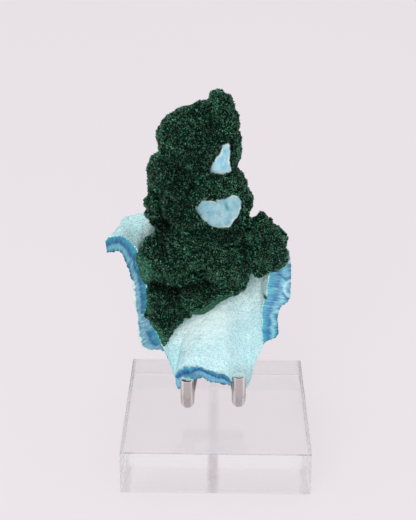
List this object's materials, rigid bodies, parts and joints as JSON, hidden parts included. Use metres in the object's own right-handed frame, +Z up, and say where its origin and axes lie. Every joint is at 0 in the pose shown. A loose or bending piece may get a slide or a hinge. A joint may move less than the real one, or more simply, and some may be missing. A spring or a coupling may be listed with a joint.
{
  "type": "malachite with shattuckite specimen on a stand",
  "caption": "Velvety dark green malachite tower on a pale blue shattuckite crust, held by steel wire hooks on a clear block",
  "frame": {"origin": "centre of the clear block's underside", "axes": "+Z up, -Y towards someone facing the show side, +X to their right"},
  "size_m": [0.0547, 0.05, 0.1013],
  "materials": {
    "acrylic": "clear polished acrylic",
    "steel": "polished steel wire",
    "shattuckite": "pale granular crust, banded dark blue where it is broken",
    "malachite": "dark green velvet of fine crystals"
  },
  "bodies": {
    "root": {"acrylic_base": "acrylic", "stand_post": "steel", "left_hook": "steel", "right_hook": "steel", "shattuckite": "shattuckite", "malachite": "malachite"}
  },
  "joints": []
}
